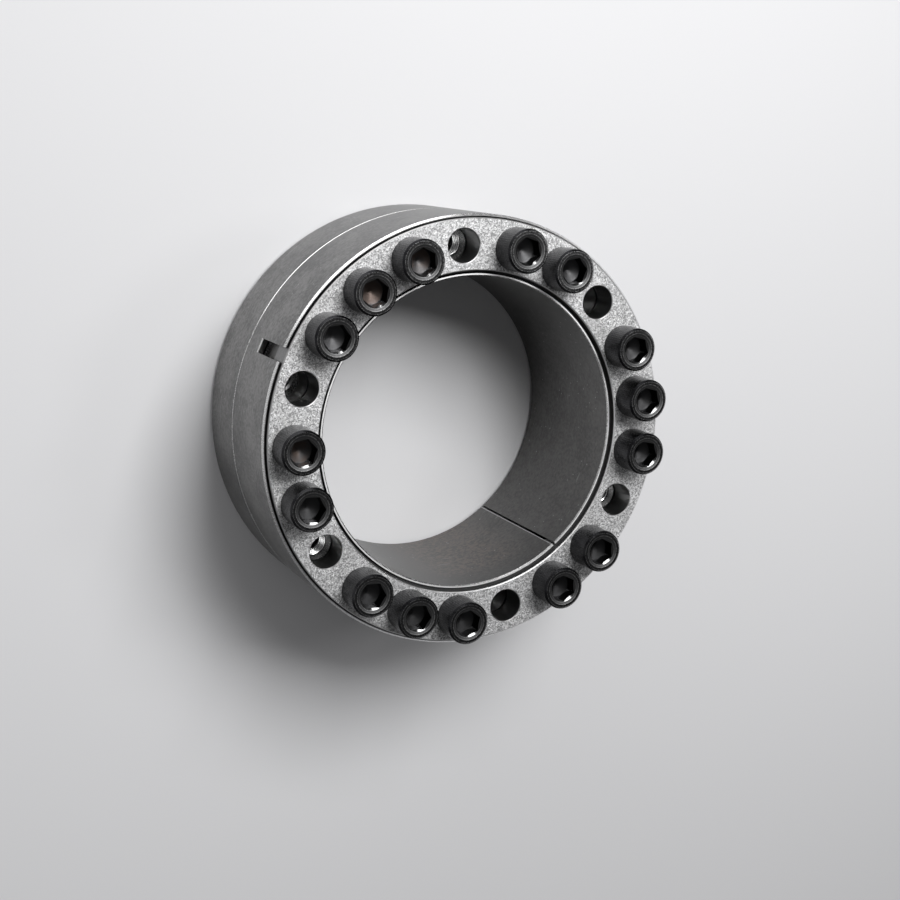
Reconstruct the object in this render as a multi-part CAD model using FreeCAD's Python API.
"""Shaft locking assembly for a 130 mm shaft in a 180 mm hub bore.

Two tapered thrust rings are drawn together by a circle of cap screws. They wedge between
the slit inner ring, which grips the shaft, and the two outer rings, which grip the hub.
The assembly stands on the rear thrust ring, with its axis on +Z and the screw heads up.
Depths are counted from the front face down, heights from the rear face up. Millimetres.
"""
import FreeCAD, Part
import math
import os

# The shaft and the hub
BORE_D = 130.0                # shaft seat of the inner ring
SECTION = 25.0                # from shaft to hub, the room that these screws need at every shaft size
HUB_D = BORE_D + 2 * SECTION  # hub seat of the outer rings, 180

# Lengths along the axis
LENGTH = 74.0                 # over the faces of the two thrust rings
INNER_RECESS = 2.0            # ends of the inner ring, below the thrust ring faces
OUTER_RECESS = 2.0            # ends of the outer rings, below the thrust ring faces
FRONT_RING_T = 12.5           # thickness of the front thrust ring
WEB_T = 10.6                  # web of the inner ring, between the thrust rings
FREE_TRAVEL = 1.4             # room between the web and the front thrust ring
REAR_ROOM = 5.2               # room between the web and the rear thrust ring
OUTER_JOINT_DEPTH = 41.5      # where the front and rear outer rings butt

# Tapers
TAPER_ANGLE = 2.86            # degrees to the axis, so 0.05 mm of radius for each mm of length
TAPER_GAP = 0.6               # radial room at each taper before the screws are tightened
INNER_END_WALL = 1.0          # wall of the inner ring at its two ends
OUTER_END_WALL = 1.0          # wall of the outer rings at their free ends
LAND_WALL = 2.5               # wall of the front outer ring round the web, between its tapers
WEB_CLEARANCE = 1.4           # radial room between the web and that wall

# Edges
RING_CHAMFER = 0.4            # face edges of the thrust rings and the shaft seat
SEAT_CHAMFER = 0.7            # free edges of the hub seat
JOINT_CHAMFER = 0.4           # edges where the two outer rings butt
HOLE_CHAMFER = 0.3            # mouths of the plain holes
RELIEF = 0.7                  # radial step that widens the mouth of a thrust ring's bore
RELIEF_DEPTH = 3.0

# The slit that lets the inner ring close, and the release slot of the front outer ring
SLIT_W = 1.1
SLIT_ANGLE = -60.0            # degrees, halfway between two screws
SLOT_W = 6.0
SLOT_END_DEPTH = 28.0
SLOT_CHAMFER = 0.5            # edge at the closed end of the slot
SLOT_ANGLE = 147.4            # degrees

# The hole circle: three like groups of seven equal steps
GROUP = ("screw", "screw", "screw", "jack", "screw", "screw", "access")
GROUPS = 3
AXIS_POSITION = 8             # this step of the circle lies on +X
CLEARANCE_D = 13.5            # plain holes round the screw shanks
ACCESS_D = 14.0               # open plain holes of the front thrust ring
JACK_D = 10.9                 # jack threads in the web, drawn at the pitch diameter
JACK_CHAMFER = 1.5            # lead-in of the jack threads

# Cap screw M12 with hexagon socket, and its tapped hole
SHANK_D = 12.0
THREAD_D = 10.86              # thread drawn at the pitch diameter
SCREW_L = 60.0                # under the head
THREAD_L = 36.0
THREAD_ROOM = 0.06            # radial room of the thread in its tapped hole
TAPPED_CHAMFER = 0.8
HEAD_D = 18.0
HEAD_H = 12.0
HEAD_CHAMFER = 0.8
UNDERHEAD_R = 0.6             # fillet between head and shank
POINT_CHAMFER = 1.2           # end of the thread
SOCKET_AF = 10.0              # across the flats
SOCKET_DEPTH = 6.0
SOCKET_MOUTH_D = 11.8         # countersunk mouth of the socket
DISH_D = 14.0                 # shallow dish round the mouth, in the top of the head
DISH_DEPTH = 0.35
SOCKET_POINT_DEPTH = 1.2      # cone below the flats
# where the socket of each screw came to stand, in degrees
SOCKET_TURNS = (57.5, 13.0, 25.5, 33.0, 0.5, 37.5, 37.0, 39.5, 23.0, 25.5, 12.5, 46.5, 49.5, 49.0, 3.0)

# Worked out
PITCH_R = (BORE_D + SECTION) / 2          # the screws lie midway between shaft and hub, 77.5
STEPS = len(GROUP) * GROUPS
STEP_ANGLE = 360.0 / STEPS
TAPER = math.tan(math.radians(TAPER_ANGLE))
WEB_TOP_DEPTH = FRONT_RING_T + FREE_TRAVEL
WEB_BOTTOM_DEPTH = WEB_TOP_DEPTH + WEB_T
REAR_RING_DEPTH = WEB_BOTTOM_DEPTH + REAR_ROOM
LAND_R = HUB_D / 2 - LAND_WALL
WEB_R = LAND_R - WEB_CLEARANCE
TAPPED_D = THREAD_D + 2 * THREAD_ROOM
OVERRUN = 1.0                 # how far a cutting tool runs past a face


def height(depth):
    """Height above the rear face of a depth below the front face."""
    return LENGTH - depth


def inner_taper_r(from_face):
    """Outside radius of the inner ring at a distance from the nearer thrust ring face."""
    return BORE_D / 2 + INNER_END_WALL + TAPER * (from_face - INNER_RECESS)


def outer_taper_r(from_face):
    """Inside radius of the outer rings at a distance from the nearer thrust ring face."""
    return HUB_D / 2 - OUTER_END_WALL - TAPER * (from_face - OUTER_RECESS)


def turned(points):
    """Solid turned from a closed profile of (radius, height) points."""
    corners = [FreeCAD.Vector(r, 0, z) for r, z in points]
    face = Part.Face(Part.makePolygon(corners + corners[:1]))
    return face.revolve(FreeCAD.Vector(0, 0, 0), FreeCAD.Vector(0, 0, 1), 360)


def on_circle(step):
    """Point of the hole circle at a step, at height 0."""
    angle = math.radians((AXIS_POSITION - step) * STEP_ANGLE)
    return FreeCAD.Vector(PITCH_R * math.cos(angle), PITCH_R * math.sin(angle), 0)


def steps_of(*kinds):
    """Steps of the hole circle that hold one of the kinds."""
    return [step for step in range(STEPS) if GROUP[step % len(GROUP)] in kinds]


def drilled(solid, steps, profile):
    """The solid with one turned tool taken out at each of the steps."""
    tool = turned(profile)
    tools = []
    for step in steps:
        copy = tool.copy()
        copy.translate(on_circle(step))
        tools.append(copy)
    return solid.cut(tools)


def hole_profile(diameter, bottom, top, bottom_chamfer=0.0, top_chamfer=0.0):
    """Profile of a through hole whose mouths may be chamfered."""
    radius = diameter / 2
    low = bottom - OVERRUN
    high = top + OVERRUN
    points = [(0, low), (radius + bottom_chamfer, low), (radius + bottom_chamfer, bottom)]
    if bottom_chamfer:
        points.append((radius, bottom + bottom_chamfer))
    if top_chamfer:
        points.append((radius, top - top_chamfer))
    points += [(radius + top_chamfer, top), (radius + top_chamfer, high), (0, high)]
    return points


def radial_cut(width, angle, inner_r, outer_r, bottom, top):
    """Straight cutter that leaves the axis at an angle."""
    cutter = Part.makeBox(outer_r - inner_r, width, top - bottom,
                          FreeCAD.Vector(inner_r, -width / 2, bottom))
    cutter.rotate(FreeCAD.Vector(0, 0, 0), FreeCAD.Vector(0, 0, 1), angle)
    return cutter


def thrust_ring_profile(length, face_chamfer):
    """Wedge section with its wide face at height 0 and its narrow end at a length below it."""
    mouth = inner_taper_r(RELIEF_DEPTH) + TAPER_GAP + RELIEF
    outer_edge = outer_taper_r(face_chamfer) - TAPER_GAP
    inner_end = inner_taper_r(length) + TAPER_GAP
    outer_end = outer_taper_r(length) - TAPER_GAP
    return [(mouth + face_chamfer, 0), (outer_edge - face_chamfer, 0),
            (outer_edge, -face_chamfer), (outer_end, -length), (inner_end, -length),
            (mouth - RELIEF, -RELIEF_DEPTH), (mouth, -RELIEF_DEPTH), (mouth, -face_chamfer)]


def front_thrust_ring():
    """Short wedge ring under the screw heads, with 15 screw holes and 6 open ones."""
    profile = [(r, LENGTH + z) for r, z in thrust_ring_profile(FRONT_RING_T, RING_CHAMFER)]
    ring = turned(profile)
    bottom = height(FRONT_RING_T)
    ring = drilled(ring, steps_of("screw"), hole_profile(CLEARANCE_D, bottom, LENGTH))
    return drilled(ring, steps_of("jack", "access"),
                   hole_profile(ACCESS_D, bottom, LENGTH, 0.0, HOLE_CHAMFER))


def rear_thrust_ring():
    """Long wedge ring that takes the threads and closes the assembly from behind."""
    length = height(REAR_RING_DEPTH)
    profile = [(r, -z) for r, z in thrust_ring_profile(length, RING_CHAMFER)]
    ring = turned(profile)
    tapped = hole_profile(TAPPED_D, 0.0, length, TAPPED_CHAMFER, TAPPED_CHAMFER)
    return drilled(ring, steps_of("screw", "access"), tapped)


def inner_ring():
    """Slit ring on the shaft, tapered both ways from a web that carries the jack threads."""
    bore = BORE_D / 2
    low = INNER_RECESS
    high = LENGTH - INNER_RECESS
    web_top = height(WEB_TOP_DEPTH)
    web_bottom = height(WEB_BOTTOM_DEPTH)
    ring = turned([
        (bore + RING_CHAMFER, low), (inner_taper_r(INNER_RECESS), low),
        (inner_taper_r(web_bottom), web_bottom), (WEB_R, web_bottom), (WEB_R, web_top),
        (inner_taper_r(WEB_TOP_DEPTH), web_top), (inner_taper_r(INNER_RECESS), high),
        (bore + RING_CHAMFER, high), (bore, high - RING_CHAMFER), (bore, low + RING_CHAMFER)])
    ring = drilled(ring, steps_of("screw"), hole_profile(CLEARANCE_D, web_bottom, web_top))
    ring = drilled(ring, steps_of("access"), hole_profile(ACCESS_D, web_bottom, web_top))
    ring = drilled(ring, steps_of("jack"),
                   hole_profile(JACK_D, web_bottom, web_top, HOLE_CHAMFER, JACK_CHAMFER))
    return ring.cut(radial_cut(SLIT_W, SLIT_ANGLE, bore - OVERRUN, WEB_R + OVERRUN, 0, LENGTH))


def slot_end_bevel(seat, end):
    """Wedge that takes the outer edge off the closed end of the slot."""
    corners = [FreeCAD.Vector(seat + OVERRUN, -SLOT_W / 2, end - SLOT_CHAMFER - OVERRUN),
               FreeCAD.Vector(seat - SLOT_CHAMFER, -SLOT_W / 2, end),
               FreeCAD.Vector(seat + OVERRUN, -SLOT_W / 2, end)]
    wedge = Part.Face(Part.makePolygon(corners + corners[:1])).extrude(FreeCAD.Vector(0, SLOT_W, 0))
    wedge.rotate(FreeCAD.Vector(0, 0, 0), FreeCAD.Vector(0, 0, 1), SLOT_ANGLE)
    return wedge


def front_outer_ring():
    """Hub ring over the front wedge and the nose of the rear one, with a release slot."""
    seat = HUB_D / 2
    high = height(OUTER_RECESS)
    low = height(OUTER_JOINT_DEPTH)
    room_top = height(WEB_TOP_DEPTH)
    room_bottom = height(REAR_RING_DEPTH)
    ring = turned([
        (outer_taper_r(low), low), (seat - JOINT_CHAMFER, low), (seat, low + JOINT_CHAMFER),
        (seat, high - SEAT_CHAMFER), (seat - SEAT_CHAMFER, high),
        (outer_taper_r(OUTER_RECESS), high), (outer_taper_r(WEB_TOP_DEPTH), room_top),
        (LAND_R, room_top), (LAND_R, room_bottom), (outer_taper_r(room_bottom), room_bottom)])
    slot = radial_cut(SLOT_W, SLOT_ANGLE, LAND_R - OVERRUN, seat + OVERRUN,
                      height(SLOT_END_DEPTH), high + OVERRUN)
    return ring.cut(slot).cut(slot_end_bevel(seat, height(SLOT_END_DEPTH)))


def rear_outer_ring():
    """Hub ring over the rear wedge."""
    seat = HUB_D / 2
    high = height(OUTER_JOINT_DEPTH)
    low = OUTER_RECESS
    return turned([
        (outer_taper_r(OUTER_RECESS), low), (seat - SEAT_CHAMFER, low), (seat, low + SEAT_CHAMFER),
        (seat, high - JOINT_CHAMFER), (seat - JOINT_CHAMFER, high), (outer_taper_r(high), high)])


def hexagon_cutter():
    """Prism of the socket, with one corner on +X and its floor at height 0."""
    corner_r = SOCKET_AF / 2 / math.cos(math.pi / 6)
    corners = []
    for i in range(6):
        angle = i * math.pi / 3
        corners.append(FreeCAD.Vector(corner_r * math.cos(angle), corner_r * math.sin(angle), 0))
    face = Part.Face(Part.makePolygon(corners + corners[:1]))
    return face.extrude(FreeCAD.Vector(0, 0, SOCKET_DEPTH + OVERRUN))


def cap_screw():
    """Socket head cap screw on the Z axis, with the underside of its head at height 0."""
    head = HEAD_D / 2
    shank = SHANK_D / 2
    thread = THREAD_D / 2
    plain_end = -(SCREW_L - THREAD_L)
    fillet_corner = FreeCAD.Vector(shank + UNDERHEAD_R, 0, 0)
    fillet_end = FreeCAD.Vector(shank, 0, -UNDERHEAD_R)
    bend = UNDERHEAD_R * (1 - math.sqrt(0.5))
    fillet = Part.Arc(fillet_corner, FreeCAD.Vector(shank + bend, 0, -bend), fillet_end).toShape()
    outline = [(shank, -UNDERHEAD_R), (shank, plain_end), (thread, plain_end - (shank - thread)),
               (thread, POINT_CHAMFER - SCREW_L), (thread - POINT_CHAMFER, -SCREW_L), (0, -SCREW_L),
               (0, HEAD_H), (head - HEAD_CHAMFER, HEAD_H), (head, HEAD_H - HEAD_CHAMFER), (head, 0),
               (shank + UNDERHEAD_R, 0)]
    lines = Part.makePolygon([FreeCAD.Vector(r, 0, z) for r, z in outline])
    section = Part.Face(Part.Wire([fillet] + lines.Edges))
    body = section.revolve(FreeCAD.Vector(0, 0, 0), FreeCAD.Vector(0, 0, 1), 360)

    floor = HEAD_H - SOCKET_DEPTH
    prism = hexagon_cutter()
    prism.translate(FreeCAD.Vector(0, 0, floor))
    mouth = SOCKET_MOUTH_D / 2
    flat_r = SOCKET_AF / 2
    mouth_depth = (mouth - flat_r) * math.tan(math.radians(30))
    mouth_z = HEAD_H - DISH_DEPTH
    countersink = turned([(0, mouth_z - mouth_depth), (flat_r, mouth_z - mouth_depth), (mouth, mouth_z),
                          (DISH_D / 2, HEAD_H), (DISH_D / 2, HEAD_H + OVERRUN), (0, HEAD_H + OVERRUN)])
    point = turned([(0, floor - SOCKET_POINT_DEPTH), (flat_r, floor), (0, floor)])
    return body.cut([prism, countersink, point])


def placed_screws():
    """The screws in their holes, by name, counted clockwise from the first group."""
    master = cap_screw()
    screws = {}
    for number, step in enumerate(steps_of("screw"), start=1):
        screw = master.copy()
        turn = SOCKET_TURNS[(number - 1) % len(SOCKET_TURNS)]
        screw.rotate(FreeCAD.Vector(0, 0, 0), FreeCAD.Vector(0, 0, 1), turn)
        place = on_circle(step)
        place.z = LENGTH
        screw.translate(place)
        screws["clamp_screw_%02d" % number] = screw
    return screws


def main():
    os.makedirs("parts", exist_ok=True)
    nodes = {
        "front_thrust_ring": front_thrust_ring(),
        "rear_thrust_ring": rear_thrust_ring(),
        "inner_ring": inner_ring(),
        "front_outer_ring": front_outer_ring(),
        "rear_outer_ring": rear_outer_ring(),
    }
    nodes.update(placed_screws())
    for name, shape in nodes.items():
        shape.exportStep("parts/%s.step" % name)
        print(name, len(shape.Solids), "solid", shape.isValid(), round(shape.Volume / 1000.0, 2), "cm3")


main()
